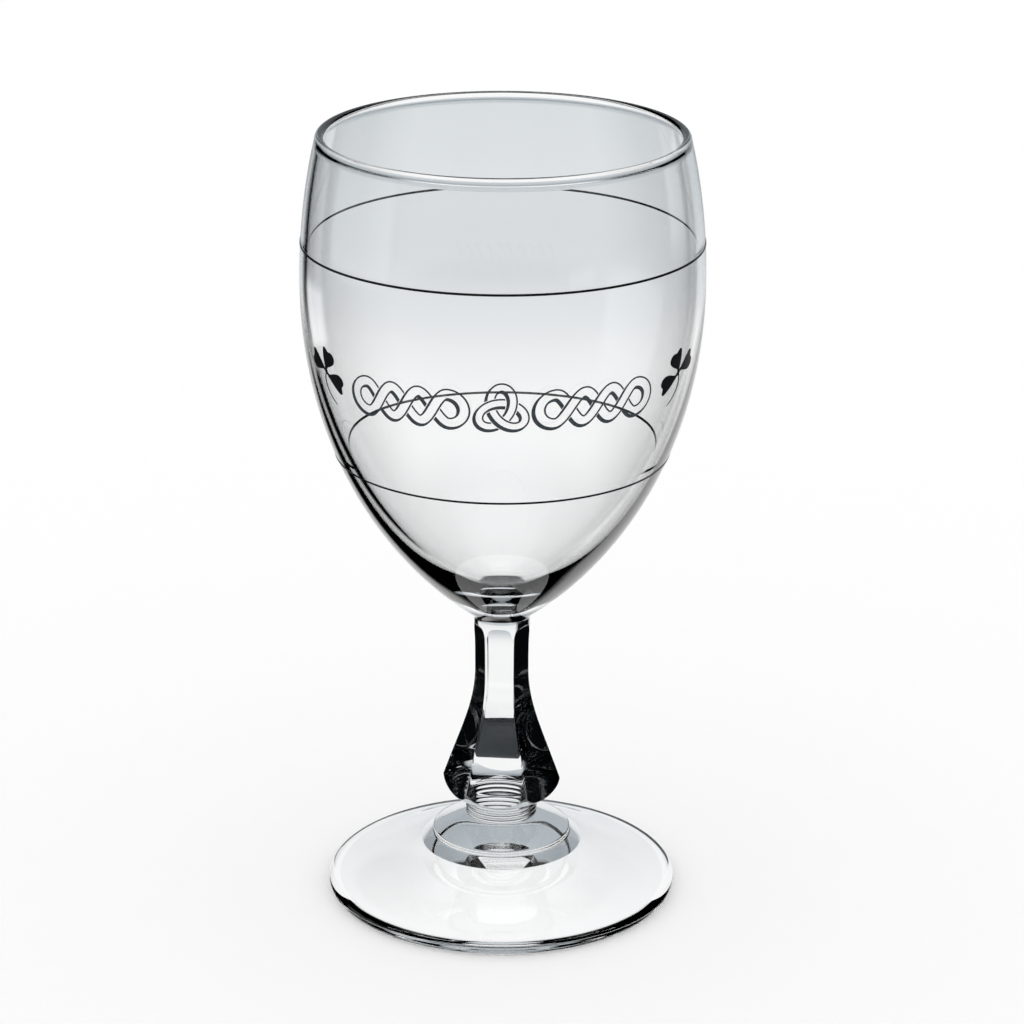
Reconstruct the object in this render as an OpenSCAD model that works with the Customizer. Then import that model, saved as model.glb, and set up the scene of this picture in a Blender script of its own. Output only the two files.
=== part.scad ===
// Stemmed glass for Irish coffee: a blown bowl on a six-sided pressed stem and a round pressed foot.
// Two fine lines, a pair of shamrocks and a row of knotwork are printed on the outside of the bowl.
// Millimetres. The axis of the glass is Z, the foot rests on Z = 0 and the printed front faces -Y.

/* [Bowl] */
// Height of the whole glass, from the table to the rim
glass_h = 150; // [146:0.5:156]
// Outer diameter of the bowl at its widest place
bowl_d = 75.1; // [73:0.1:78]
// Height of the widest place above the table
widest_z = 122; // [118:0.5:124]
// Half height of the ellipse that the wall follows above the widest place
upper_curve_h = 68; // [60:1:90]
// How far below the widest place the wall keeps turning before it heads for the stem
lower_curve_h = 30; // [24:0.5:34]
// Thickness of the upper wall
wall_t = 1.3; // [1.2:0.1:2]
// Thickness of the rounded rim
rim_t = 1.7; // [1.4:0.1:2.2]
// How far the rim's bead takes to thin into the wall inside, measured from the middle of the bead
bead_h = 0.9; // [0.8:0.1:2.4]
// Height of the inside floor above the table
floor_z = 60.7; // [60.5:0.1:64]
// How far the inside wall keeps turning below the widest place
inner_curve_h = 37; // [32:0.5:40]
// Half width of the rounded floor inside
floor_curve_r = 11; // [8:0.5:14]
// Radius where the lower wall gives way to the flare above the stem
flare_r = 9.7; // [9:0.1:12]
// Height of that place above the table
flare_z = 59.5; // [58.5:0.1:61]
// Slope of the lower wall there, in degrees above level
flare_slope = 39.7; // [36:0.1:44]
// Length over which the lower wall runs nearly straight
flare_run = 18.4; // [12:0.2:22]

/* [Stem] */
// Height of the top of the stem, where the bowl is fused on
stem_top_z = 55.5; // [55:0.1:56.5]
// Diameter of the round top of the stem
stem_top_d = 10.6; // [9.8:0.1:11.4]
// Height where the six flats begin under the round top
flats_top_z = 54.6; // [54:0.1:54.8]
// Height at which the stem is slimmest
waist_z = 45; // [43:0.5:47]
// Width across the flats at the slimmest place
waist_flats = 9.1; // [8.6:0.1:9.6]
// Height of the widest place of the knop
knop_z = 22.3; // [21.6:0.1:23]
// Width across the corners of the knop
knop_corners = 22.9; // [21:0.1:24]
// How far each sharp corner between two flats is rounded off
corner_round = 0.12; // [0.05:0.01:0.3]
// Turn of the flats about the axis, in degrees from facing the front
flats_turn = 5.5; // [0:0.5:30]
// Diameter of the neck under the knop
neck_d = 13.5; // [12.5:0.1:14.5]
// Height of the underside of the knop, where the neck begins
neck_top_z = 18.5; // [18:0.1:19]
// Height of the foot of the neck, where the foot is fused on
neck_foot_z = 14.9; // [14.5:0.1:15.5]
// Number of fine ridges round the neck
ridge_count = 4; // [3:1:6]
// How far each ridge stands out
ridge_t = 0.14; // [0.08:0.02:0.4]

/* [Foot] */
// Diameter of the foot
foot_d = 67.3; // [64:0.1:71]
// Thickness of the rounded edge of the foot
foot_edge_t = 3; // [2.4:0.1:3.6]
// Height of the hollow under the middle of the foot
hollow_h = 5.6; // [4:0.1:6.2]
// Width of the flat ring that the foot rests on
rest_ring_w = 1.1; // [0.8:0.1:2]
// Diameter of the collar round the neck, at its upper lip
collar_d = 26.6; // [25:0.1:28]
// Height of the top of the collar's lip
collar_lip_z = 12.2; // [11.8:0.1:12.6]
// Rounding of the collar's lip
lip_r = 0.55; // [0.4:0.05:0.7]
// Diameter of the shoulder under the lip, where the collar begins to slope out
collar_shoulder_d = 27; // [26.4:0.1:27.8]
// Height of that shoulder
collar_shoulder_z = 10.9; // [10.7:0.05:11]
// Diameter of the base of the collar, where it meets the foot
collar_base_d = 30.8; // [29.6:0.1:32]
// Height of the base of the collar
collar_base_z = 9.5; // [9.2:0.1:9.9]

/* [Printed lines] */
// Thickness of the enamel print
print_t = 0.1; // [0.06:0.01:0.2]
// Width of each line
line_w = 0.42; // [0.3:0.02:0.8]
// Height of the upper line, as a share of the way from the widest place up to the rim
upper_line_share = 0.294; // [0.2:0.002:0.5]
// Height of the lower line above the table
lower_line_z = 89.4; // [86:0.1:94]

/* [Shamrocks] */
// Height of the heart of each shamrock above the table
shamrock_z = 110.1; // [106:0.1:114]
// Gap on the bowl between the end of a plait and the heart of the shamrock beside it, less one leaf
shamrock_gap = 2.76; // [1.5:0.02:6]
// Length of a leaf, from the heart to its notch
leaf_l = 5.1; // [4:0.1:6]
// Half width of a leaf
leaf_half_w = 1.9; // [1.4:0.1:2.2]
// Width of the stalk
stalk_w = 0.24; // [0.15:0.01:0.5]
// How far the stalk hangs below the heart
stalk_drop = 5.8; // [4:0.1:7]

/* [Knotwork] */
// Height of the middle of the knotwork above the table
knot_z = 108.6; // [106:0.1:111]
// Width of the clear ribbon of a plait, between its two inked edges
ribbon_w = 1.5; // [1.1:0.1:1.8]
// Width of the clear ribbon of the middle knot
knot_ribbon_w = 1.1; // [0.8:0.1:1.2]
// Width of an inked edge
ink_w = 0.3; // [0.2:0.02:0.4]
// How far the heavy lower edge is drawn to the side and down
shade_w = 0.3; // [0.1:0.02:0.4]
// Gap that a ribbon leaves beside the one it dips under
dip_gap = 0.14; // [0.1:0.02:0.3]
// Half height of the wave that each ribbon of a plait follows
plait_wave_h = 2.8; // [2.4:0.1:3.2]
// Length of one mesh of a plait, from crossing to crossing
plait_mesh_l = 5.4; // [5:0.1:6]
// Number of crossings in a plait
plait_crossings = 3; // [2:1:3]
// Gap on the bowl between the middle knot and the end of a plait
knot_gap = 0.28; // [0.2:0.02:3]
// Size of the middle knot: a third of the way from its middle to the tip of a lobe
knot_unit = 1.5; // [1.4:0.05:1.6]

/* [Hidden] */
glass_colour = [0.86, 0.90, 0.91, 0.45];
enamel_colour = [0.04, 0.05, 0.06];
ink_colour = [0.22, 0.26, 0.28];
// Points along each curve of the glass, and along each curve of a drawing
steps = 20;
drawing_steps = 14;
// Points along each small rounding
round_steps = 10;
// Facets shown on round shapes
$fn = 96;
// How far a cutting shape runs past what it cuts
overrun = 1;
bowl_r = bowl_d / 2;
rim_r = rim_t / 2;
rim_z = glass_h - rim_r;
stem_top_r = stem_top_d / 2;
neck_r = neck_d / 2;
foot_r = foot_d / 2;

// Point at share t of the curve from a to d, which leaves towards b and arrives from c
function curve_at(a, b, c, d, t) =
    pow(1 - t, 3) * a + 3 * pow(1 - t, 2) * t * b + 3 * (1 - t) * t * t * c + pow(t, 3) * d;
// Points of that curve, without its first one
function curve(a, b, c, d) = [for (i = [1:steps]) curve_at(a, b, c, d, i / steps)];
// Radius at height z of an ellipse that is r wide at the widest place
function upper_r(r, z) = r * sqrt(1 - pow((z - widest_z) / upper_curve_h, 2));
// Points of an arc about a centre
function arc(centre, r, from, to, count) =
    [for (i = [0:count]) let (a = from + (to - from) * i / count) centre + r * [cos(a), sin(a)]];
function reversed(p) = [for (i = [len(p) - 1:-1:0]) p[i]];

// Outside of the bowl, from the stem up to the rim
flare_top = [flare_r, flare_z];
flare_run_step = flare_run * [cos(flare_slope), sin(flare_slope)];
flare_foot_share = 0.2;
outside = concat(
    [[stem_top_r, stem_top_z]],
    curve(
        [stem_top_r, stem_top_z],
        [stem_top_r, stem_top_z + (flare_z - stem_top_z) * flare_foot_share],
        flare_top - flare_run_step * flare_foot_share,
        flare_top
    ),
    curve(
        flare_top,
        flare_top + flare_run_step,
        [bowl_r, widest_z - lower_curve_h],
        [bowl_r, widest_z]
    ),
    [for (i = [1:steps]) let (z = widest_z + (rim_z - widest_z) * i / steps) [upper_r(bowl_r, z), z]]
);
rim_centre = [upper_r(bowl_r, rim_z) - rim_r, rim_z];
// Inside of the bowl, from the rim's bead down to the floor
inner_r = bowl_r - wall_t;
inside_top_z = rim_z - bead_h;
inside = concat(
    [for (i = [1:round_steps - 1])
        let (z = rim_z - bead_h * i / round_steps, bead_in = rim_centre[0] - rim_r)
            [bead_in + (upper_r(inner_r, z) - bead_in) * pow(i / round_steps, 2), z]],
    [for (i = [steps:-1:0])
        let (z = widest_z + (inside_top_z - widest_z) * i / steps) [upper_r(inner_r, z), z]],
    curve(
        [inner_r, widest_z],
        [inner_r, widest_z - inner_curve_h],
        [floor_curve_r, floor_z],
        [0, floor_z]
    )
);
// Outer radius of the bowl at height z
outside_table = [for (p = outside) [p[1], p[0]]];
function outside_r(z) = lookup(z, outside_table);

module bowl() {
    color(glass_colour)
        rotate_extrude()
            polygon(concat([[0, stem_top_z]], outside, arc(rim_centre, rim_r, 0, 180, round_steps), inside));
}

// Distance of the flats from the axis, from the top of the stem down to the neck
knop_flat = knop_corners / 2 * cos(30);
waist_flat = waist_flats / 2;
top_lead_share = 0.08;
top_drop_share = 0.03;
top_cut_share = 0.15;
top_ease_share = 0.2;
knop_fall_share = 0.44;
knop_swell_share = 0.55;
waist_ease_share = 0.33;
function between(a, b, share) = a + (b - a) * share;
flats_lead = (stem_top_z - flats_top_z) * top_lead_share;
flat_side = concat(
    [
        [stem_top_r + overrun, stem_top_z + overrun],
        [stem_top_r + overrun, flats_top_z + flats_lead],
        [stem_top_r + flats_lead, flats_top_z + flats_lead]
    ],
    curve(
        [stem_top_r + flats_lead, flats_top_z + flats_lead],
        [between(waist_flat, stem_top_r, top_cut_share), between(flats_top_z, waist_z, top_drop_share)],
        [waist_flat, between(flats_top_z, waist_z, top_ease_share)],
        [waist_flat, waist_z]
    ),
    curve(
        [waist_flat, waist_z],
        [waist_flat, between(waist_z, knop_z, waist_ease_share)],
        [between(knop_flat, waist_flat, knop_swell_share), between(knop_z, waist_z, knop_fall_share)],
        [knop_flat, knop_z]
    ),
    [[knop_flat, neck_foot_z - overrun]]
);

// One pair of opposite flats, as a slab across the stem
module flat_pair() {
    rotate([90, 0, 0])
        linear_extrude(height = knop_corners * 2, center = true)
            polygon(concat(flat_side, [for (p = reversed(flat_side)) [-p[0], p[1]]]));
}

// Round outline of the stem: its top, its softened corners, the underside of the knop and the ridged neck
flat_middles = [for (i = [1:len(flat_side) - 1]) (flat_side[i - 1] + flat_side[i]) / 2];
corner_side = [for (p = flat_middles) if (p[1] < flats_top_z && p[1] > knop_z)
    let (corner_r = p[0] / cos(30) - corner_round)
        [p[1] > waist_z ? min(stem_top_r, corner_r) : corner_r, p[1]]];
knop_r = knop_corners / 2 - corner_round;
ridge_h = (neck_top_z - neck_foot_z) / ridge_count;
ridge_shares = [[0, 0], [0.25, 0.8], [0.5, 1], [0.75, 0.8]];
neck_side = [for (i = [ridge_count - 1:-1:0]) for (share = reversed(ridge_shares))
    [neck_r + ridge_t * share[1], neck_foot_z + ridge_h * (i + share[0])]];
round_side = concat(
    [[0, stem_top_z], [stem_top_r, stem_top_z]],
    corner_side,
    [[knop_r, knop_z]],
    curve(
        [knop_r, knop_z],
        [knop_r, (knop_z + neck_top_z) / 2],
        [(knop_r + neck_r) / 2, neck_top_z],
        [neck_r, neck_top_z]
    ),
    neck_side,
    [[0, neck_foot_z]]
);

// The six flats, as three crossing slabs
module six_flats() {
    rotate([0, 0, -flats_turn])
        intersection() {
            rotate([0, 0, 90])
                flat_pair();
            rotate([0, 0, 150])
                flat_pair();
            rotate([0, 0, 210])
                flat_pair();
        }
}

module stem() {
    color(glass_colour)
        intersection() {
            rotate_extrude()
                polygon(round_side);
            six_flats();
        }
}

// Outline of the foot: collar, top surface, rounded edge, rest ring and hollow underside
collar_r = collar_d / 2;
collar_base_r = collar_base_d / 2;
edge_r = foot_edge_t / 2;
edge_x = foot_r - edge_r;
rest_x = edge_x - rest_ring_w;
lip_x = collar_r - lip_r;
lip_z = collar_lip_z - lip_r;
lip_turn = 75;
top_shares = [[0.4, 0.82], [0.7, 0.42]];
hollow_shares = [[0.8, 0.2], [0.45, 1]];
foot_side = concat(
    [[0, neck_foot_z], [neck_r, neck_foot_z]],
    arc([lip_x, lip_z], lip_r, lip_turn, -lip_turn, round_steps),
    [[collar_shoulder_d / 2, collar_shoulder_z], [collar_base_r, collar_base_z]],
    curve(
        [collar_base_r, collar_base_z],
        [between(collar_base_r, edge_x, top_shares[0][0]), collar_base_z * top_shares[0][1]],
        [between(collar_base_r, edge_x, top_shares[1][0]), collar_base_z * top_shares[1][1]],
        [edge_x, foot_edge_t]
    ),
    arc([edge_x, edge_r], edge_r, lip_turn, -lip_turn, round_steps),
    [[edge_x, 0], [rest_x, 0]],
    curve(
        [rest_x, 0],
        [rest_x * hollow_shares[0][0], hollow_h * hollow_shares[0][1]],
        [rest_x * hollow_shares[1][0], hollow_h * hollow_shares[1][1]],
        [0, hollow_h]
    )
);

module foot() {
    color(glass_colour)
        rotate_extrude()
            polygon(foot_side);
}

// Skin of enamel on the outside of the bowl between two heights
module skin(low_z, high_z) {
    heights = concat([low_z], [for (p = outside) if (p[1] > low_z && p[1] < high_z) p[1]], [high_z]);
    rotate_extrude()
        polygon(concat(
            [for (z = heights) [outside_r(z), z]],
            [for (z = reversed(heights)) [outside_r(z) + print_t, z]]
        ));
}

// The drawing in child 0, made of drawn() pieces, laid on the bowl at an angle from the front
module printed(angle, z, reach) {
    intersection() {
        skin(z - reach, z + reach);
        rotate([0, 0, angle])
            translate([0, 0, z])
                rotate([90, 0, 0])
                    children();
    }
}

// One closed outline of a drawing, deep enough to pass through the skin of enamel
module drawn(points) {
    translate([0, 0, bowl_r / 2])
        linear_extrude(height = bowl_r)
            polygon(points);
}

upper_line_z = widest_z + (rim_z - widest_z) * upper_line_share;
module upper_line() {
    color(enamel_colour)
        skin(upper_line_z - line_w / 2, upper_line_z + line_w / 2);
}

module lower_line() {
    color(enamel_colour)
        skin(lower_line_z - line_w / 2, lower_line_z + line_w / 2);
}

// Outline of one leaf, as shares of its length and of its half width, with the fuller lobe first
leaf_shares = [
    [0.04, 0.05], [0.23, 0.12], [0.48, 0.66], [0.72, 1], [0.93, 0.97], [1.05, 0.68], [1.06, 0.3], [1, 0],
    [1.05, -0.33], [1.08, -0.62], [1, -0.8], [0.8, -0.74], [0.52, -0.55], [0.25, -0.3], [0.04, -0.12]
];
// Smooth closed line through points, three to each stretch
function smooth(p) = [for (i = [0:len(p) - 1]) for (t = [0:1 / 3:0.9])
    let (a = p[(i + len(p) - 1) % len(p)], b = p[i], c = p[(i + 1) % len(p)], d = p[(i + 2) % len(p)])
        curve_at(b, b + (c - a) / 6, c - (d - b) / 6, c, t)];

module leaf(length, half_w, angle, side) {
    rotate([0, 0, angle])
        drawn(smooth([for (p = leaf_shares) [p[0] * length, p[1] * half_w * side]]));
}

// Directions of the upper, the side and the low leaf, in degrees from +X
leaf_turns = [72, 155, -22];
upper_length_share = 0.84;
upper_width_share = 1.15;
// Bends of the stalk, as shares of its drop
stalk_shares = [[0, 0], [-0.28, -0.35], [0, -0.75], [0.38, -1]];

// Shamrock seen from outside the bowl, with its low leaf towards +X
module shamrock() {
    leaf(leaf_l * upper_length_share, leaf_half_w * upper_width_share, leaf_turns[0], -1);
    leaf(leaf_l, leaf_half_w, leaf_turns[1], 1);
    leaf(leaf_l, leaf_half_w, leaf_turns[2], 1);
    drawn(arc([0, 0], stalk_w * 2, 0, 360 * (1 - 1 / drawing_steps), drawing_steps - 1));
    bends = stalk_drop * stalk_shares;
    side = [stalk_w / 2, 0];
    stalk = [for (i = [0:drawing_steps]) curve_at(bends[0], bends[1], bends[2], bends[3], i / drawing_steps)];
    drawn(concat([for (p = stalk) p + side], [for (p = reversed(stalk)) p - side]));
}

module shamrock_left() {
    color(enamel_colour)
        printed(-shamrock_angle, shamrock_z, stalk_drop + stalk_w)
            shamrock();
}

module shamrock_right() {
    color(enamel_colour)
        printed(shamrock_angle, shamrock_z, stalk_drop + stalk_w)
            mirror([1, 0, 0])
                shamrock();
}

// Height of a ribbon of a plait at distance x from the middle of its first mesh
function wave(x) = plait_wave_h * cos(180 * x / plait_mesh_l);
function wave_slope(x) = -plait_wave_h * PI / plait_mesh_l * sin(180 * x / plait_mesh_l);
// Point of a ribbon's edge, moved sideways from its middle line
function wave_edge(x, move) = let (k = wave_slope(x)) [x, wave(x)] + move / sqrt(1 + k * k) * [-k, 1];
plait_l = plait_crossings * plait_mesh_l;
last_side = plait_crossings % 2 == 0 ? 1 : -1;
// One edge of a ribbon, from the round end on its left, along the wave, to the round end on its right
function plait_edge(move) = concat(
    arc([0, 0], plait_wave_h + move, 180, 90, drawing_steps),
    [for (i = [1:drawing_steps * plait_crossings - 1]) wave_edge(plait_mesh_l * i / drawing_steps, move)],
    arc([plait_l, 0], plait_wave_h + move * last_side, 90 * last_side, 0, drawing_steps)
);

// One of the two ribbons of a plait, half_w to each side of its middle line
module plait_band(half_w, side) {
    drawn([for (p = concat(plait_edge(half_w), reversed(plait_edge(-half_w)))) [p[0], p[1] * side]]);
}

// A shape together with the shade that its heavy lower edge throws
module shaded() {
    children();
    translate([-shade_w, -shade_w, 0])
        children();
}

clear_half = ribbon_w / 2;
inked_half = clear_half + ink_w;
knot_clear_half = knot_ribbon_w / 2;
knot_inked_half = knot_clear_half + ink_w;
// Half width of the knot's middle line, as a share of its size
knot_lobe_share = 2.74;

// Angle that a length takes up round the bowl, at the height of the knotwork
function turn_of(length) = asin(length / outside_r(knot_z));
// Angles of each plait and of each shamrock round the bowl, from the front
knot_reach = knot_unit * knot_lobe_share + knot_inked_half;
plait_reach = plait_l / 2 + plait_wave_h + inked_half + shade_w;
plait_angle = turn_of(knot_reach) + turn_of(knot_gap) + turn_of(plait_reach);
shamrock_angle = plait_angle + turn_of(plait_reach) + turn_of(shamrock_gap) + turn_of(leaf_l);

// A box in a drawing, from one corner to the opposite one
module window(low, high) {
    drawn([low, [high[0], low[1]], high, [low[0], high[1]]]);
}

// Square window in a drawing round a point
module window_at(point, half_w) {
    window(point - [half_w, half_w], point + [half_w, half_w]);
}

// Part of a mesh that stays whole before and after a crossing
dip_share = 0.1;

// One ribbon in outline, cut away at every second crossing, where it dips under the other one
module plait_ribbon(side, first_dip) {
    difference() {
        shaded()
            plait_band(inked_half, side);
        plait_band(clear_half, side);
        intersection() {
            shaded()
                plait_band(inked_half + dip_gap, -side);
            for (i = [first_dip:2:plait_crossings - 1])
                window(plait_mesh_l * [i + dip_share, -1], plait_mesh_l * [i + 1 - dip_share, 1]);
        }
    }
}

// Plait of two ribbons with round ends, where each ribbon's clear middle runs on into the other's
module plait() {
    end_l = plait_wave_h * 2;
    translate([-plait_l / 2, 0, 0])
        difference() {
            union() {
                plait_ribbon(1, 0);
                plait_ribbon(-1, 1);
            }
            for (side = [-1, 1])
                for (end_x = [-end_l, plait_l])
                    intersection() {
                        plait_band(clear_half, side);
                        window([end_x, -end_l], [end_x + end_l, end_l]);
                    }
        }
}

module plait_left() {
    color(ink_colour)
        printed(-plait_angle, knot_z, plait_wave_h * 2)
            plait();
}

module plait_right() {
    color(ink_colour)
        printed(plait_angle, knot_z, plait_wave_h * 2)
            plait();
}

// Middle line of the three-lobed knot at turn t, and the way that it heads there
function knot_point(t) = knot_unit * [sin(t) + 2 * sin(2 * t), 2 * cos(2 * t) - cos(t)];
function knot_heading(t) = [cos(t) + 4 * cos(2 * t), sin(t) - 4 * sin(2 * t)];
// Turn at which the first of the knot's three strands comes out from under another one
strand_turn = 240 - acos(-1 / 4);
// How far the clear middle of a strand runs on past its ends, in degrees of turn
strand_lap = 4;
// Half width of the place where a strand dips, as a share of the knot's size
knot_dip_share = 1.4;
// One edge of a strand, moved sideways from its middle line
function strand_edge(move, strand, lap) = [for (i = [0:drawing_steps * 2])
    let (share = i / drawing_steps / 2)
    let (t = strand_turn + 120 * strand + between(-lap, 120 + lap, share), h = knot_heading(t))
        knot_point(t) + move / norm(h) * [-h[1], h[0]]];

// A strand, from where it comes out from under another one to where it dips again
module strand_band(half_w, strand, lap) {
    drawn(concat(strand_edge(half_w, strand, lap), reversed(strand_edge(-half_w, strand, lap))));
}

// That strand in outline, cut away at each end beside the strand that passes over it
module knot_strand(strand) {
    difference() {
        shaded()
            strand_band(knot_inked_half, strand, 0);
        strand_band(knot_clear_half, strand, strand_lap);
        for (end = [0, 1])
            intersection() {
                shaded()
                    strand_band(knot_inked_half + dip_gap, (strand + 1 + end) % 3, 0);
                window_at(knot_point(strand_turn + 120 * (strand + end)), knot_unit * knot_dip_share);
            }
    }
}

module knot_middle() {
    color(ink_colour)
        for (strand = [0, 1, 2])
            printed(0, knot_z, knot_unit * 4)
                knot_strand(strand);
}

bowl();
stem();
foot();
upper_line();
lower_line();
shamrock_left();
shamrock_right();
plait_left();
knot_middle();
plait_right();
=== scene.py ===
import math

import bmesh
import bpy
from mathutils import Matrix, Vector


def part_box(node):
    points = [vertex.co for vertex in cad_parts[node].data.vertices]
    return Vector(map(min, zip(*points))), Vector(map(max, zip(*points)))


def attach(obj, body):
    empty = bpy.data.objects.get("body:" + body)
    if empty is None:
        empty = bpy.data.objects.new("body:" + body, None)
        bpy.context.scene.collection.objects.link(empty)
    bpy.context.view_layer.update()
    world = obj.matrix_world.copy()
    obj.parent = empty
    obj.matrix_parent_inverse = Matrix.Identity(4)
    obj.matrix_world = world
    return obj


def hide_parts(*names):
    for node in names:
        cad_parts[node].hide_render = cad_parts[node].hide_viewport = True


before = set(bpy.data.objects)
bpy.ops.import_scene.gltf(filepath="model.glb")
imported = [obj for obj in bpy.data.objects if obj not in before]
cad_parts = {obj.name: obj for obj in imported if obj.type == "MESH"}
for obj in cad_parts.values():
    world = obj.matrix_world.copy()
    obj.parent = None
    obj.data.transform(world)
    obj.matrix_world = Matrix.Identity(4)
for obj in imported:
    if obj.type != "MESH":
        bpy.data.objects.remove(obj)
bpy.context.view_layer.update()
mm = 0.001
mergeDistance = 0.001 * mm
jointTolerance = 0.002 * mm
print("frame loaded, parts:", ", ".join(sorted(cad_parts)))


# points of a curve from a to d that leaves towards b and arrives from c, without its first one
def curveTo(a, b, c, d, count):
    points = []
    for i in range(1, count + 1):
        t = i / count
        s = 1 - t
        points.append(a * s ** 3 + b * 3 * s * s * t + c * 3 * s * t * t + d * t ** 3)
    return points


def arcAround(centre, radius, fromDegrees, toDegrees, count):
    points = []
    for i in range(count + 1):
        turn = math.radians(fromDegrees + (toDegrees - fromDegrees) * i / count)
        points.append(centre + radius * Vector((math.cos(turn), math.sin(turn))))
    return points


def between(a, b, share):
    return a + (b - a) * share


# turns an outline (radius, height) about the glass's axis into a closed shell
def latheShell(outline, steps, startDegrees=0.0):
    mesh = bmesh.new()
    turn = math.radians(startDegrees)
    verts = [
        mesh.verts.new((p.x * math.cos(turn), p.x * math.sin(turn), p.y)) for p in outline
    ]
    edges = [mesh.edges.new(pair) for pair in zip(verts, verts[1:])]
    bmesh.ops.spin(
        mesh, geom=verts + edges, cent=(0, 0, 0), axis=(0, 0, 1), dvec=(0, 0, 0),
        angle=math.tau, steps=steps, use_merge=True, use_duplicate=False,
    )
    bmesh.ops.remove_doubles(mesh, verts=mesh.verts, dist=mergeDistance)
    bmesh.ops.recalc_face_normals(mesh, faces=mesh.faces)
    return mesh


# faces where two pieces of the glass are fused get the second material, with a crisp edge
def markFused(mesh, heights):
    for face in mesh.faces:
        face.smooth = True
        for height in heights:
            if all(abs(v.co.z - height) < jointTolerance for v in face.verts):
                face.material_index = 1
    for edge in mesh.edges:
        kinds = {face.material_index for face in edge.link_faces}
        edge.smooth = len(kinds) == 1


def finishPiece(mesh, name, node, materials):
    data = bpy.data.meshes.new(name)
    mesh.to_mesh(data)
    mesh.free()
    piece = bpy.data.objects.new(name, data)
    bpy.context.scene.collection.objects.link(piece)
    for material in materials:
        data.materials.append(material)
    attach(piece, "root")
    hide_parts(node)
    print(name, "made,", len(data.polygons), "faces")


# materials

glassValues = {
    "ior": 1.52,
    "tint": (0.994, 0.998, 1.0, 1),
    "blownRoughness": 0.0,
    "pressedRoughness": 0.004,
    # unevenness of hot-worked glass, slow first and finer on top of it: noise scale, detail, depth
    "blownWaves": [(38, 1.0, 0.004 * mm)],
    "pressedWaves": [(160, 1.0, 0.01 * mm), (700, 2.0, 0.002 * mm)],
}


def newMaterial(name):
    material = bpy.data.materials.new(name)
    material.use_nodes = True
    return material, material.node_tree.nodes, material.node_tree.links


def addNoise(nodes, links, place, scale, detail):
    noise = nodes.new("ShaderNodeTexNoise")
    noise.inputs["Scale"].default_value = scale
    noise.inputs["Detail"].default_value = detail
    links.new(place.outputs["Object"], noise.inputs["Vector"])
    return noise.outputs["Fac"]


def addBump(nodes, links, height, depth):
    bump = nodes.new("ShaderNodeBump")
    bump.inputs["Distance"].default_value = depth
    links.new(height, bump.inputs["Height"])
    return bump


def glassMaterial(name, roughness, waves):
    material, nodes, links = newMaterial(name)
    shader = nodes["Principled BSDF"]
    shader.inputs["Base Color"].default_value = glassValues["tint"]
    shader.inputs["Roughness"].default_value = roughness
    shader.inputs["IOR"].default_value = glassValues["ior"]
    shader.inputs["Transmission Weight"].default_value = 1.0
    place = nodes.new("ShaderNodeTexCoord")
    below = None
    for scale, detail, depth in waves:
        bump = addBump(nodes, links, addNoise(nodes, links, place, scale, detail), depth)
        if below is not None:
            links.new(below.outputs["Normal"], bump.inputs["Normal"])
        below = bump
    links.new(below.outputs["Normal"], shader.inputs["Normal"])
    return material


def fusedMaterial():
    material, nodes, links = newMaterial("fusedGlass")
    nodes.remove(nodes["Principled BSDF"])
    clear = nodes.new("ShaderNodeBsdfTransparent")
    links.new(clear.outputs["BSDF"], nodes["Material Output"].inputs["Surface"])
    return material


blownGlass = glassMaterial("blownGlass", glassValues["blownRoughness"], glassValues["blownWaves"])
pressedGlass = glassMaterial("pressedGlass", glassValues["pressedRoughness"], glassValues["pressedWaves"])
fusedGlass = fusedMaterial()
print("materials made")

# bowl

bowlLow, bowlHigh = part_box("bowl")
stemLow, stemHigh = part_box("stem")
footLow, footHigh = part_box("foot")

bowl = {
    "widestHeight": 122 * mm,
    "upperCurveHeight": 68 * mm,
    "lowerCurveHeight": 30 * mm,
    "wall": 1.3 * mm,
    "rim": 1.7 * mm,
    "rimStart": 12,
    "beadHeight": 0.9 * mm,
    "beadPower": 2,
    "floorHeight": 60.7 * mm,
    "innerCurveHeight": 37 * mm,
    "floorCurveRadius": 11 * mm,
    "flareRadius": 9.7 * mm,
    "flareHeight": 59.5 * mm,
    "flareSlope": 39.7,
    "flareRun": 18.4 * mm,
    "flareFootShare": 0.2,
    "neckRadius": 5.3 * mm,
    # points along the flare, the belly, the wall above it, the rim and the bead, and round the axis
    "flarePoints": 24,
    "bellyPoints": 96,
    "wallPoints": 36,
    "rimPoints": 14,
    "beadPoints": 12,
    "steps": 240,
}


def upperRadius(radius, height):
    share = (height - bowl["widestHeight"]) / bowl["upperCurveHeight"]
    return radius * math.sqrt(1 - share * share)


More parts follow.
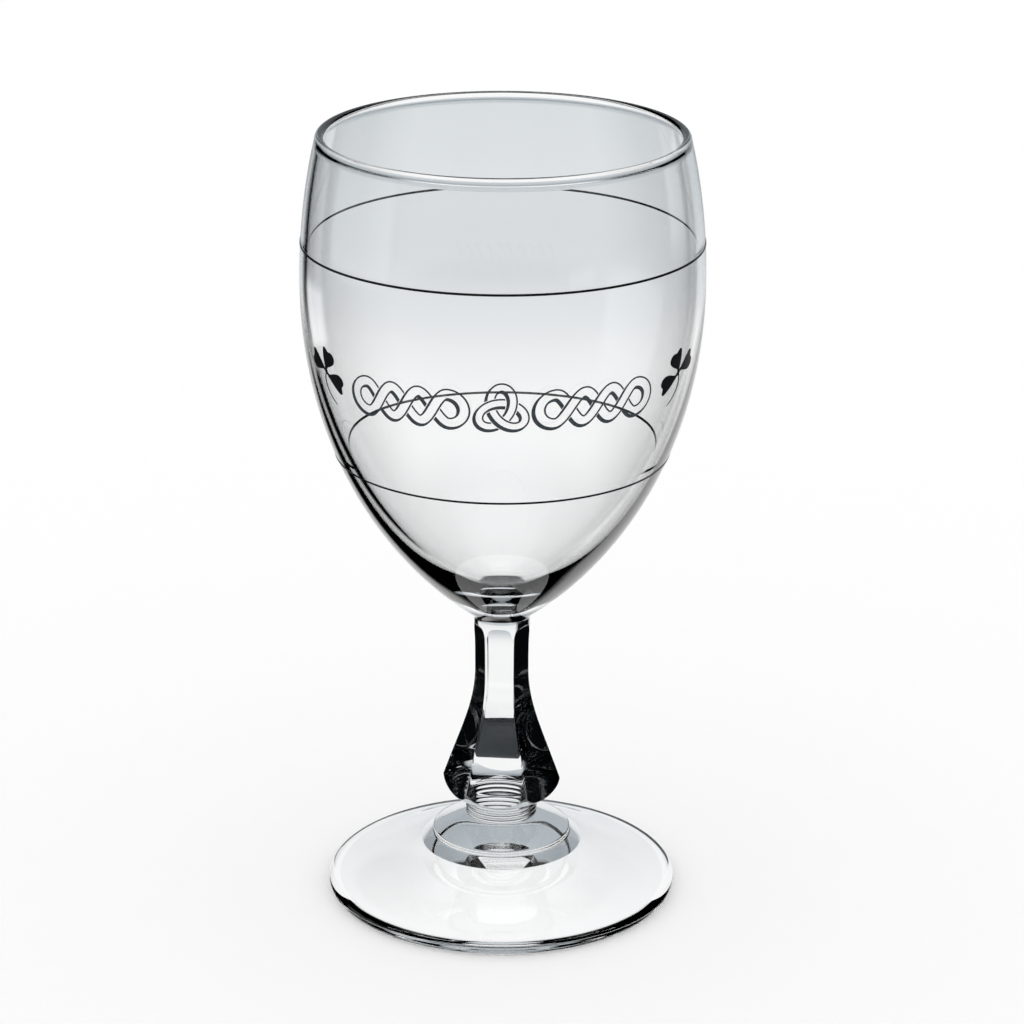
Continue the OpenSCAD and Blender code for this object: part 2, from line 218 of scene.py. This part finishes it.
def bowlOutline():
    outer = bowlHigh.x
    inner = outer - bowl["wall"]
    widest = bowl["widestHeight"]
    rimRadius = bowl["rim"] / 2
    rimHeight = bowlHigh.z - rimRadius
    jointHeight = bowlLow.z
    joint = Vector((bowl["neckRadius"], jointHeight))
    flareTop = Vector((bowl["flareRadius"], bowl["flareHeight"]))
    slope = math.radians(bowl["flareSlope"])
    run = bowl["flareRun"] * Vector((math.cos(slope), math.sin(slope)))
    # outside, from the joint up
    outline = [Vector((0, jointHeight)), joint]
    outline += curveTo(
        joint,
        Vector((joint.x, between(jointHeight, flareTop.y, bowl["flareFootShare"]))),
        flareTop - run * bowl["flareFootShare"],
        flareTop, bowl["flarePoints"],
    )
    outline += curveTo(
        flareTop, flareTop + run, Vector((outer, widest - bowl["lowerCurveHeight"])),
        Vector((outer, widest)), bowl["bellyPoints"],
    )
    count = bowl["wallPoints"]
    for i in range(1, count + 1):
        height = between(widest, rimHeight, i / count)
        outline.append(Vector((upperRadius(outer, height), height)))
    # rim, and its bead that thins to the wall
    rimCentre = Vector((upperRadius(outer, rimHeight) - rimRadius, rimHeight))
    outline += arcAround(rimCentre, rimRadius, bowl["rimStart"], 180, bowl["rimPoints"])
    insideTop = rimHeight - bowl["beadHeight"]
    for i in range(1, bowl["beadPoints"]):
        share = i / bowl["beadPoints"]
        height = between(rimHeight, insideTop, share)
        radius = between(rimCentre.x - rimRadius, upperRadius(inner, height), share ** bowl["beadPower"])
        outline.append(Vector((radius, height)))
    # inside, down to the floor
    for i in range(count, -1, -1):
        height = between(widest, insideTop, i / count)
        outline.append(Vector((upperRadius(inner, height), height)))
    outline += curveTo(
        Vector((inner, widest)), Vector((inner, widest - bowl["innerCurveHeight"])),
        Vector((bowl["floorCurveRadius"], bowl["floorHeight"])),
        Vector((0, bowl["floorHeight"])), bowl["bellyPoints"],
    )
    return outline


bowlMesh = latheShell(bowlOutline(), bowl["steps"])
markFused(bowlMesh, [bowlLow.z])
finishPiece(bowlMesh, "blown_bowl", "bowl", [blownGlass, fusedGlass])

# stem

stem = {
    "flatsTopHeight": 54.6 * mm,
    "waistHeight": 45 * mm,
    "waistFlats": 9.1 * mm,
    "knopHeight": 22.3 * mm,
    "knopCorners": 22.9 * mm,
    "cornerRound": 0.12 * mm,
    "sides": 6,
    "flatsTurn": 5.5,
    "neckRadius": 6.75 * mm,
    "neckTopHeight": 18.5 * mm,
    "ridges": 4,
    "ridgeDepth": 0.14 * mm,
    "ridgePower": 0.8,
    "leadShare": 0.08,
    "dropShare": 0.03,
    "easeShare": 0.2,
    "cutShare": 0.15,
    "waistEaseShare": 0.33,
    "fallShare": 0.44,
    "swellShare": 0.55,
    "neckEaseShare": 0.5,
    # points along the round top, the slim part, the knop, the neck and a ridge, and round the axis
    "topPoints": 12,
    "slimPoints": 60,
    "knopPoints": 80,
    "neckPoints": 50,
    "ridgePoints": 8,
    "steps": 360,
}
flatsPerCorner = math.cos(math.pi / stem["sides"])


# distance of the flats from the axis against height, from the top down to the knop
def flatsCurve():
    top = stem["flatsTopHeight"]
    waist = stem["waistHeight"]
    knop = stem["knopHeight"]
    waistFlat = stem["waistFlats"] / 2
    knopFlat = stem["knopCorners"] / 2 * flatsPerCorner
    topRadius = bowl["neckRadius"]
    lead = (stemHigh.z - top) * stem["leadShare"]
    start = Vector((topRadius + lead, top + lead))
    slimmest = Vector((waistFlat, waist))
    cut = between(waistFlat, topRadius, stem["cutShare"])
    swell = between(knopFlat, waistFlat, stem["swellShare"])
    points = [start] + curveTo(
        start,
        Vector((cut, between(top, waist, stem["dropShare"]))),
        Vector((waistFlat, between(top, waist, stem["easeShare"]))),
        slimmest, stem["slimPoints"],
    )
    points += curveTo(
        slimmest,
        Vector((waistFlat, between(waist, knop, stem["waistEaseShare"]))),
        Vector((swell, between(knop, waist, stem["fallShare"]))),
        Vector((knopFlat, knop)), stem["knopPoints"],
    )
    return points


# flats at a height, read off that curve; above its start the stem is round
def flatAt(points, height):
    if height >= points[0].y:
        return 1.0
    for a, b in zip(points, points[1:]):
        if b.y <= height <= a.y:
            return between(b.x, a.x, (height - b.y) / (a.y - b.y))
    return points[-1].x


def stemOutline(flats):
    topRadius = bowl["neckRadius"]
    knopHeight = stem["knopHeight"]
    knopRadius = stem["knopCorners"] / 2 - stem["cornerRound"]
    top = stemHigh.z
    bottom = stemLow.z
    outline = [Vector((0, top)), Vector((topRadius, top))]
    for i in range(1, stem["topPoints"] + 1):
        outline.append(Vector((topRadius, between(top, flats[0].y, i / stem["topPoints"]))))
    for point in flats[1:]:
        corner = point.x / flatsPerCorner - stem["cornerRound"]
        if point.y > stem["waistHeight"]:
            corner = min(topRadius, corner)
        outline.append(Vector((corner, point.y)))
    outline[-1] = Vector((knopRadius, knopHeight))
    neck = Vector((stem["neckRadius"], stem["neckTopHeight"]))
    outline += curveTo(
        Vector((knopRadius, knopHeight)),
        Vector((knopRadius, between(neck.y, knopHeight, stem["neckEaseShare"]))),
        Vector((between(neck.x, knopRadius, stem["neckEaseShare"]), neck.y)),
        neck, stem["neckPoints"],
    )
    ridgeHeight = (neck.y - bottom) / stem["ridges"]
    count = stem["ridgePoints"]
    for ridge in range(stem["ridges"]):
        for i in range(1, count + 1):
            height = neck.y - ridgeHeight * (ridge + i / count)
            swell = 0.0
            if i < count:
                swell = math.sin(math.pi * i / count) ** stem["ridgePower"] * stem["ridgeDepth"]
            outline.append(Vector((neck.x + swell, height)))
    outline.append(Vector((0, bottom)))
    return outline


# moves what stands out past the flats onto them
def pressFlats(mesh, flats):
    side = 360 / stem["sides"]
    flatAtHeight = {}
    for vert in mesh.verts:
        radius = math.hypot(vert.co.x, vert.co.y)
        height = round(vert.co.z, 7)
        if radius == 0 or not stemLow.z < vert.co.z < stemHigh.z:
            continue
        if height not in flatAtHeight:
            flatAtHeight[height] = flatAt(flats, height)
        # one flat faces back, but for the stem's small turn, and the others follow from it
        fromBack = math.degrees(math.atan2(vert.co.y, vert.co.x)) + stem["flatsTurn"] - 90
        offFlat = math.radians((fromBack + side / 2) % side - side / 2)
        reach = flatAtHeight[height] / math.cos(offFlat)
        if reach < radius:
            vert.co.x *= reach / radius
            vert.co.y *= reach / radius


flats = flatsCurve()
stemMesh = latheShell(stemOutline(flats), stem["steps"], -stem["flatsTurn"])
pressFlats(stemMesh, flats)
markFused(stemMesh, [stemHigh.z, stemLow.z])
finishPiece(stemMesh, "pressed_stem", "stem", [pressedGlass, fusedGlass])

# foot

foot = {
    "edge": 3 * mm,
    "hollow": 5.6 * mm,
    "restRing": 1.1 * mm,
    "collarRadius": 13.3 * mm,
    "collarLipHeight": 12.2 * mm,
    "lipRadius": 0.55 * mm,
    "shoulderRadius": 13.5 * mm,
    "shoulderHeight": 10.9 * mm,
    "collarBaseRadius": 15.4 * mm,
    "collarBaseHeight": 9.5 * mm,
    "lipTurn": 75,
    "topShares": [(0.4, 0.82), (0.7, 0.42)],
    "hollowShares": [(0.8, 0.2), (0.45, 1.0)],
    # points along the lip, the slopes above and below, and the edge, and round the axis
    "lipPoints": 14,
    "slopePoints": 60,
    "edgePoints": 16,
    "steps": 240,
}


def footOutline():
    edge = foot["edge"] / 2
    edgeX = footHigh.x - edge
    restX = edgeX - foot["restRing"]
    lip = foot["lipRadius"]
    lipTurn = foot["lipTurn"]
    lipCentre = Vector((foot["collarRadius"] - lip, foot["collarLipHeight"] - lip))
    base = foot["collarBaseRadius"]
    baseHeight = foot["collarBaseHeight"]
    outline = [Vector((0, footHigh.z)), Vector((stem["neckRadius"], footHigh.z))]
    outline += arcAround(lipCentre, lip, lipTurn, -lipTurn, foot["lipPoints"])
    outline.append(Vector((foot["shoulderRadius"], foot["shoulderHeight"])))
    outline.append(Vector((base, baseHeight)))
    (nearX, nearY), (farX, farY) = foot["topShares"]
    outline += curveTo(
        Vector((base, baseHeight)),
        Vector((between(base, edgeX, nearX), baseHeight * nearY)),
        Vector((between(base, edgeX, farX), baseHeight * farY)),
        Vector((edgeX, foot["edge"])), foot["slopePoints"],
    )
    outline += arcAround(Vector((edgeX, edge)), edge, lipTurn, -lipTurn, foot["edgePoints"])
    outline += [Vector((edgeX, 0)), Vector((restX, 0))]
    (outX, outY), (midX, midY) = foot["hollowShares"]
    hollow = foot["hollow"]
    outline += curveTo(
        Vector((restX, 0)), Vector((restX * outX, hollow * outY)),
        Vector((restX * midX, hollow * midY)), Vector((0, hollow)), foot["slopePoints"],
    )
    return outline


footMesh = latheShell(footOutline(), foot["steps"])
markFused(footMesh, [footHigh.z])
finishPiece(footMesh, "pressed_foot", "foot", [pressedGlass, fusedGlass])

# prints: the CAD pieces stay, with enamel on them

prints = {
    "specular": 0.18,
    "grainScale": 2600,
    "grainDetail": 3.0,
    "grainDepth": 0.004 * mm,
    "darkFrom": 0.35,
    "paleFrom": 0.7,
    "colours": {
        "blackEnamel": {
            "dark": (0.004, 0.005, 0.006, 1), "pale": (0.012, 0.014, 0.016, 1), "roughness": 0.32,
            "nodes": ["upper_line", "lower_line", "shamrock_left", "shamrock_right"],
        },
        "slateInk": {
            "dark": (0.03, 0.04, 0.047, 1), "pale": (0.06, 0.075, 0.085, 1), "roughness": 0.38,
            "nodes": ["plait_left", "knot_middle", "plait_right"],
        },
    },
}


def printMaterial(name, colour):
    material, nodes, links = newMaterial(name)
    shader = nodes["Principled BSDF"]
    shader.inputs["Roughness"].default_value = colour["roughness"]
    shader.inputs["Specular IOR Level"].default_value = prints["specular"]
    place = nodes.new("ShaderNodeTexCoord")
    grain = addNoise(nodes, links, place, prints["grainScale"], prints["grainDetail"])
    shades = nodes.new("ShaderNodeValToRGB")
    shades.color_ramp.elements[0].position = prints["darkFrom"]
    shades.color_ramp.elements[0].color = colour["dark"]
    shades.color_ramp.elements[1].position = prints["paleFrom"]
    shades.color_ramp.elements[1].color = colour["pale"]
    links.new(grain, shades.inputs["Fac"])
    links.new(shades.outputs["Color"], shader.inputs["Base Color"])
    grainBump = addBump(nodes, links, grain, prints["grainDepth"])
    links.new(grainBump.outputs["Normal"], shader.inputs["Normal"])
    return material


for name, colour in prints["colours"].items():
    material = printMaterial(name, colour)
    for node in colour["nodes"]:
        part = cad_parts[node]
        part.data.materials.clear()
        part.data.materials.append(material)
print("prints coloured")

# floor and surroundings

studio = {
    "floorRadius": 3.0,
    "floorSides": 96,
    "white": (1.0, 1.0, 1.0, 1),
    "dark": (0.0015, 0.002, 0.0025, 1),
    # a ray that goes straight through one piece of glass crosses fewer surfaces than this
    "fewSurfaces": 2.5,
    # backdrop's colour against degrees above level, as glass shows it
    "backdrop": [
        (-56, (0.0015, 0.002, 0.0025, 1)),
        (-49, (1.0, 1.0, 1.0, 1)),
        (-20, (1.0, 1.0, 1.0, 1)),
        (-16.5, (0.797, 0.82, 0.835, 1)),
        (-13, (0.665, 0.7, 0.722, 1)),
        (-8, (0.59, 0.63, 0.655, 1)),
        (1, (0.55, 0.59, 0.615, 1)),
        (8, (0.38, 0.42, 0.45, 1)),
        (30, (0.40, 0.44, 0.47, 1)),
        (48, (0.56, 0.6, 0.63, 1)),
        (62, (1.0, 1.0, 1.0, 1)),
    ],
    # openings in the dark surroundings: degrees to the right of straight behind the glass from, to
    # and how softly, degrees above level from, to and how softly, and which rays see them: blown ones
    # leave the glass through the bowl, straight ones also crossed few surfaces, thin ones crossed more
    "openings": [
        (-23.4, 37.5, 5, -90, 90, 2, "all"),
        (-100, 100, 10, 50, 90, 16, "all"),
        (100, 260, 36, -90, -8, 5, "blown"),
        (90, 270, 10, 42, 90, 12, "blown"),
        (127, 143, 3, -12, -6, 1, "straight"),
        (-57, -33, 5, -22, -15, 1, "straight"),
        (-57, -33, 5, -90, -17, 2, "thin"),
        (-114, -66, 5, -12, 8, 2, "all"),
    ],
}


def mathNode(nodes, links, operation, first, second=None, third=None):
    node = nodes.new("ShaderNodeMath")
    node.operation = operation
    for i, value in enumerate((first, second, third)):
        if value is None:
            continue
        if isinstance(value, (int, float)):
            node.inputs[i].default_value = value
        else:
            links.new(value, node.inputs[i])
    return node.outputs["Value"]


# 1 for what glass shows or mirrors, and 0 for the camera and for what lights the paper and the prints
def seenInGlass(nodes, links, path):
    sent, mirrored = path.outputs["Is Transmission Ray"], path.outputs["Is Glossy Ray"]
    seen = mathNode(nodes, links, "MAXIMUM", sent, mirrored)
    direct = mathNode(nodes, links, "LESS_THAN", path.outputs["Diffuse Depth"], 0.5)
    return mathNode(nodes, links, "MULTIPLY", seen, direct)


def paleFloorMaterial():
    material, nodes, links = newMaterial("paleFloor")
    nodes.remove(nodes["Principled BSDF"])
    paper = nodes.new("ShaderNodeBsdfDiffuse")
    paper.inputs["Color"].default_value = studio["white"]
    place = nodes.new("ShaderNodeTexCoord")
    distance = nodes.new("ShaderNodeVectorMath")
    distance.operation = "LENGTH"
    links.new(place.outputs["Object"], distance.inputs[0])
    # glass shows the backdrop below the horizon too; straight through the foot it shows painted light
    # instead of the paper: a white glow where its ray crossed few surfaces, and painted black shade where
    # it crossed more
    paperRadius = footHigh.x - foot["edge"] / 2
    near = mathNode(nodes, links, "LESS_THAN", distance.outputs["Value"], paperRadius)
    path = nodes.new("ShaderNodeLightPath")
    depth = path.outputs["Transmission Depth"]
    paintedLitVsShaded = mathNode(nodes, links, "LESS_THAN", depth, studio["fewSurfaces"])
    unfused = mathNode(nodes, links, "LESS_THAN", path.outputs["Transparent Depth"], 0.5)
    # painted light and shade under the foot: this emission glows white at strength 1 for rays that
    # crossed few surfaces, and is black at strength 0 for the rest
    white = nodes.new("ShaderNodeEmission")
    links.new(paintedLitVsShaded, white.inputs["Strength"])
    clear = nodes.new("ShaderNodeBsdfTransparent")
    shown = nodes.new("ShaderNodeMixShader")
    links.new(mathNode(nodes, links, "MULTIPLY", near, unfused), shown.inputs["Fac"])
    links.new(clear.outputs["BSDF"], shown.inputs[1])
    links.new(white.outputs["Emission"], shown.inputs[2])
    mix = nodes.new("ShaderNodeMixShader")
    links.new(seenInGlass(nodes, links, path), mix.inputs["Fac"])
    links.new(paper.outputs["BSDF"], mix.inputs[1])
    links.new(shown.outputs["Shader"], mix.inputs[2])
    links.new(mix.outputs["Shader"], nodes["Material Output"].inputs["Surface"])
    return material


def makeFloor():
    mesh = bmesh.new()
    bmesh.ops.create_circle(
        mesh, cap_ends=True, segments=studio["floorSides"], radius=studio["floorRadius"],
    )
    data = bpy.data.meshes.new("studio_floor")
    mesh.to_mesh(data)
    mesh.free()
    floor = bpy.data.objects.new("studio_floor", data)
    bpy.context.scene.collection.objects.link(floor)
    data.materials.append(paleFloorMaterial())


# 1 where an angle is between two others, and softly 0 outside
def band(nodes, links, angle, low, high, soft):
    rise = mathNode(nodes, links, "MULTIPLY_ADD", angle, 1 / soft, -low / soft + 0.5)
    fall = mathNode(nodes, links, "MULTIPLY_ADD", angle, -1 / soft, high / soft + 0.5)
    both = mathNode(nodes, links, "MINIMUM", rise, fall)
    return mathNode(nodes, links, "MINIMUM", mathNode(nodes, links, "MAXIMUM", both, 0.0), 1.0)


# degrees to the right of straight behind the glass, and degrees above level
def skyAngles(nodes, links):
    place = nodes.new("ShaderNodeTexCoord")
    split = nodes.new("ShaderNodeSeparateXYZ")
    links.new(place.outputs["Generated"], split.inputs["Vector"])
    degrees = 180 / math.pi
    turn = mathNode(nodes, links, "ARCTAN2", split.outputs["X"], split.outputs["Y"])
    rise = mathNode(nodes, links, "ARCSINE", split.outputs["Z"])
    azimuth = mathNode(nodes, links, "MULTIPLY", turn, degrees)
    elevation = mathNode(nodes, links, "MULTIPLY", rise, degrees)
    return azimuth, elevation


# 1 where the surroundings are open to a ray, and 0 where they are dark
def openingsMask(nodes, links, azimuth, elevation, path):
    # the same angle, counted on past straight in front of the glass
    wrapped = mathNode(nodes, links, "WRAP", azimuth, 360.0, 0.0)
    depth = path.outputs["Transmission Depth"]
    # only the smooth blown glass passes light on as singular rays
    blown = path.outputs["Is Singular Ray"]
    few = mathNode(nodes, links, "LESS_THAN", depth, studio["fewSurfaces"])
    rays = {
        "thin": mathNode(nodes, links, "GREATER_THAN", depth, studio["fewSurfaces"]),
        "straight": mathNode(nodes, links, "MULTIPLY", few, blown),
        "blown": blown,
    }
    mask = 0.0
    for azLow, azHigh, azSoft, low, high, soft, who in studio["openings"]:
        across = band(nodes, links, wrapped if azHigh > 180 else azimuth, azLow, azHigh, azSoft)
        up = band(nodes, links, elevation, low, high, soft)
        opening = mathNode(nodes, links, "MULTIPLY", across, up)
        if who in rays:
            opening = mathNode(nodes, links, "MULTIPLY", opening, rays[who])
        mask = mathNode(nodes, links, "MAXIMUM", opening, mask)
    return mask


def backdropColour(nodes, links, elevation):
    tones = nodes.new("ShaderNodeValToRGB")
    stops = studio["backdrop"]
    while len(tones.color_ramp.elements) < len(stops):
        tones.color_ramp.elements.new(0.5)
    for element, (angle, colour) in zip(tones.color_ramp.elements, stops):
        element.position = (angle + 90) / 180
        element.color = colour
    links.new(mathNode(nodes, links, "MULTIPLY_ADD", elevation, 1 / 180, 0.5), tones.inputs["Fac"])
    return tones.outputs["Color"]


def makeWorld():
    world = bpy.data.worlds.new("paleStudio")
    bpy.context.scene.world = world
    world.use_nodes = True
    nodes, links = world.node_tree.nodes, world.node_tree.links
    azimuth, elevation = skyAngles(nodes, links)
    path = nodes.new("ShaderNodeLightPath")
    shown = nodes.new("ShaderNodeMix")
    shown.data_type = "RGBA"
    links.new(openingsMask(nodes, links, azimuth, elevation, path), shown.inputs["Factor"])
    shown.inputs["A"].default_value = studio["dark"]
    links.new(backdropColour(nodes, links, elevation), shown.inputs["B"])
    final = nodes.new("ShaderNodeMix")
    final.data_type = "RGBA"
    links.new(seenInGlass(nodes, links, path), final.inputs["Factor"])
    final.inputs["A"].default_value = studio["white"]
    links.new(shown.outputs["Result"], final.inputs["B"])
    background = nodes["Background"]
    links.new(final.outputs["Result"], background.inputs["Color"])
    background.inputs["Strength"].default_value = 1.0


makeFloor()
makeWorld()
print("floor and surroundings made")

# camera, at the photograph's viewpoint

view = {
    "place": (1.85 * mm, -630.9 * mm, 302.6 * mm),
    "pitch": 19.71,
    "roll": 0.21,
    "focalPixels": 3544.1,
    "framePixels": 1024,
    "sensorWidth": 36.0,
    "nearClip": 10 * mm,
}
lens = bpy.data.cameras.new("photo_camera")
lens.sensor_width = view["sensorWidth"]
lens.lens = view["focalPixels"] * view["sensorWidth"] / view["framePixels"]
lens.clip_start = view["nearClip"]
camera = bpy.data.objects.new("photo_camera", lens)
bpy.context.scene.collection.objects.link(camera)
camera.location = view["place"]
camera.rotation_mode = "ZYX"
camera.rotation_euler = (math.radians(90 - view["pitch"]), 0, math.radians(view["roll"]))
bpy.context.scene.camera = camera

bpy.context.scene.view_settings.view_transform = "Standard"
